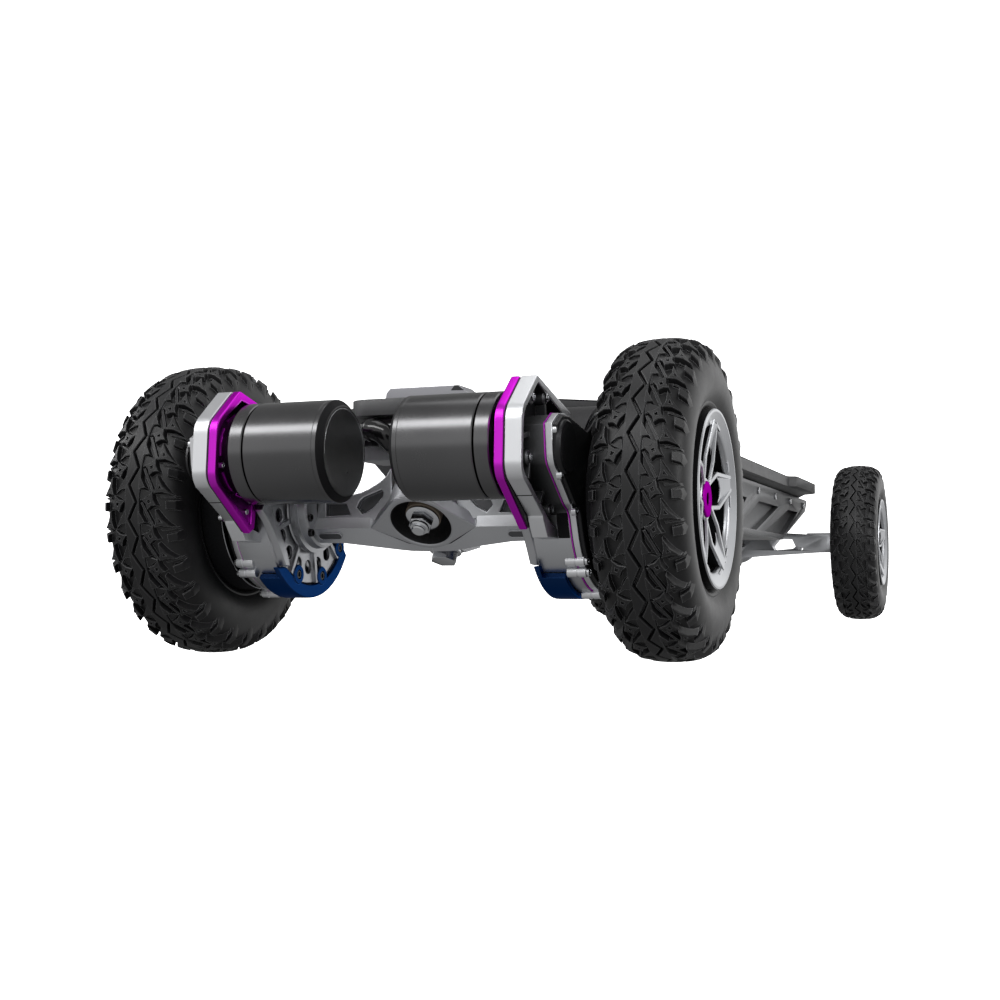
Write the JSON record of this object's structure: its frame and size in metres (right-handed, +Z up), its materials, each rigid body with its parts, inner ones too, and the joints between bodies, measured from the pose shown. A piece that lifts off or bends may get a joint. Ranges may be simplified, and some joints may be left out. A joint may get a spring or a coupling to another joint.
{
  "type": "electric skateboard",
  "caption": "All-terrain electric skateboard: flat deck on double-kingpin trucks, knobbly tyres and two geared rear motors.",
  "frame": {"origin": "on the ground, under the middle of the board's overall length and width", "axes": "+Y towards the front of the board, +X to its right, +Z up"},
  "size_m": [0.388, 1.2354, 0.2],
  "materials": {
    "deck_shell": "fine-textured dark grey composite skin",
    "grip": "coarse black grit sheet",
    "frame": "dark grey anodised aluminium",
    "tray": "dark grey anodised sheet",
    "cells": "blue sleeve over cells",
    "controller": "grey anodised heat sink",
    "tail_metal": "bead-blasted grey",
    "button": "black",
    "dark_steel": "black oxide",
    "bright_steel": "zinc plated",
    "port": "black",
    "cast_silver": "forged and bead-blasted silver",
    "bushing": "tan polyurethane",
    "gland": "glossy black rubber",
    "axle_steel": "ground steel",
    "magenta": "magenta anodised aluminium",
    "guard_blue": "dark blue anodised aluminium",
    "motor_black": "satin dark gunmetal",
    "plate_silver": "bead-blasted silver anodised",
    "cover_black": "satin black",
    "gear_steel": "machined steel",
    "gear_steel_light": "hard-anodised machined gear",
    "tyre": "black knobbly rubber",
    "hub": "silver painted cast aluminium"
  },
  "bodies": {
    "board": {"deck": "deck_shell", "grip_tape": "grip", "side_frame_left": "frame", "side_frame_right": "frame", "battery_tray": "tray", "battery_cells": "cells", "motor_controller": "controller", "tail_plate": "tail_metal", "base_bolts": "dark_steel", "frame_screws": "bright_steel", "charge_port": "port", "rear_baseplate": "cast_silver", "front_baseplate": "cast_silver", "steering_kingpins": "bright_steel", "steering_bushings": "bushing", "cable_glands": "gland"},
    "power_button": {"power_button": "button"},
    "rear_pivot": {"rear_pivot_block": "cast_silver", "rear_kingpin": "bright_steel", "rear_bushings": "bushing"},
    "front_pivot": {"front_pivot_block": "cast_silver", "front_kingpin": "bright_steel", "front_bushings": "bushing"},
    "rear_truck": {"rear_hanger": "cast_silver", "rear_axles": "axle_steel", "rear_axle_caps": "magenta", "rear_wheel_bearings": "axle_steel", "gear_guards": "guard_blue", "drive_screws": "bright_steel", "motor_base_left": "motor_black", "motor_base_right": "motor_black", "motor_plate_left": "magenta", "motor_plate_right": "magenta", "drive_plate_left": "plate_silver", "drive_plate_right": "plate_silver", "gear_case_left": "plate_silver", "gear_case_right": "plate_silver", "gear_cover_left": "cover_black", "gear_cover_right": "cover_black"},
    "front_truck": {"front_hanger": "cast_silver", "front_axles": "axle_steel", "front_axle_caps": "magenta", "front_wheel_bearings": "axle_steel"},
    "rotor_left": {"motor_can_left": "motor_black", "pinion_left": "gear_steel"},
    "rotor_right": {"motor_can_right": "motor_black", "pinion_right": "gear_steel"},
    "idler_left": {"idler_gear_left": "gear_steel"},
    "idler_right": {"idler_gear_right": "gear_steel"},
    "wheel_rear_left": {"tyre_rear_left": "tyre", "hub_rear_left": "hub", "drive_gear_left": "gear_steel_light"},
    "wheel_rear_right": {"tyre_rear_right": "tyre", "hub_rear_right": "hub", "drive_gear_right": "gear_steel_light"},
    "wheel_front_left": {"tyre_front_left": "tyre", "hub_front_left": "hub"},
    "wheel_front_right": {"tyre_front_right": "tyre", "hub_front_right": "hub"}
  },
  "joints": [
    {"name": "rear_upper_tilt", "type": "hinge", "parent": "board", "child": "rear_pivot", "pos_m": [0, -0.46278, 0.0991], "axis": [0, -0.9397, 0.342], "range_deg": [-3, 3], "stiffness_Nm_per_rad": 60},
    {"name": "rear_lower_tilt", "type": "hinge", "parent": "rear_pivot", "child": "rear_truck", "pos_m": [0, -0.49994, 0.10434], "axis": [0, -0.766, 0.6428], "range_deg": [-6, 6], "stiffness_Nm_per_rad": 60},
    {"name": "front_upper_tilt", "type": "hinge", "parent": "board", "child": "front_pivot", "pos_m": [0, 0.48128, 0.0991], "axis": [0, -0.9397, -0.342], "range_deg": [-3, 3], "stiffness_Nm_per_rad": 60},
    {"name": "front_lower_tilt", "type": "hinge", "parent": "front_pivot", "child": "front_truck", "pos_m": [0, 0.51844, 0.10434], "axis": [0, -0.766, -0.6428], "range_deg": [-6, 6], "stiffness_Nm_per_rad": 60},
    {"name": "wheel_rear_left_spin", "type": "hinge", "parent": "rear_truck", "child": "wheel_rear_left", "pos_m": [-0.164, -0.49925, 0.1], "axis": [1, 0, 0], "continuous": true},
    {"name": "wheel_rear_right_spin", "type": "hinge", "parent": "rear_truck", "child": "wheel_rear_right", "pos_m": [0.164, -0.49925, 0.1], "axis": [1, 0, 0], "continuous": true},
    {"name": "wheel_front_left_spin", "type": "hinge", "parent": "front_truck", "child": "wheel_front_left", "pos_m": [-0.164, 0.51775, 0.1], "axis": [1, 0, 0], "continuous": true},
    {"name": "wheel_front_right_spin", "type": "hinge", "parent": "front_truck", "child": "wheel_front_right", "pos_m": [0.164, 0.51775, 0.1], "axis": [1, 0, 0], "continuous": true},
    {"name": "idler_left_spin", "type": "hinge", "parent": "rear_truck", "child": "idler_left", "pos_m": [-0.1145, -0.55496, 0.12017], "axis": [1, 0, 0], "continuous": true},
    {"name": "rotor_left_spin", "type": "hinge", "parent": "rear_truck", "child": "rotor_left", "pos_m": [-0.055, -0.57894, 0.12885], "axis": [1, 0, 0], "continuous": true},
    {"name": "idler_right_spin", "type": "hinge", "parent": "rear_truck", "child": "idler_right", "pos_m": [0.1145, -0.55496, 0.12017], "axis": [1, 0, 0], "continuous": true},
    {"name": "rotor_right_spin", "type": "hinge", "parent": "rear_truck", "child": "rotor_right", "pos_m": [0.055, -0.57894, 0.12885], "axis": [1, 0, 0], "continuous": true},
    {"name": "power_button_press", "type": "slide", "parent": "board", "child": "power_button", "axis": [0, 0, -1], "range_m": [0, 0.0015], "stiffness_N_per_m": 400}
  ],
  "couplings": [
    {"joint": "rear_upper_tilt", "follows": "rear_lower_tilt", "ratio": 0.5},
    {"joint": "front_upper_tilt", "follows": "front_lower_tilt", "ratio": 0.5},
    {"joint": "idler_left_spin", "follows": "wheel_rear_left_spin", "ratio": -3.1579},
    {"joint": "rotor_left_spin", "follows": "wheel_rear_left_spin", "ratio": 4},
    {"joint": "idler_right_spin", "follows": "wheel_rear_right_spin", "ratio": -3.1579},
    {"joint": "rotor_right_spin", "follows": "wheel_rear_right_spin", "ratio": 4}
  ]
}
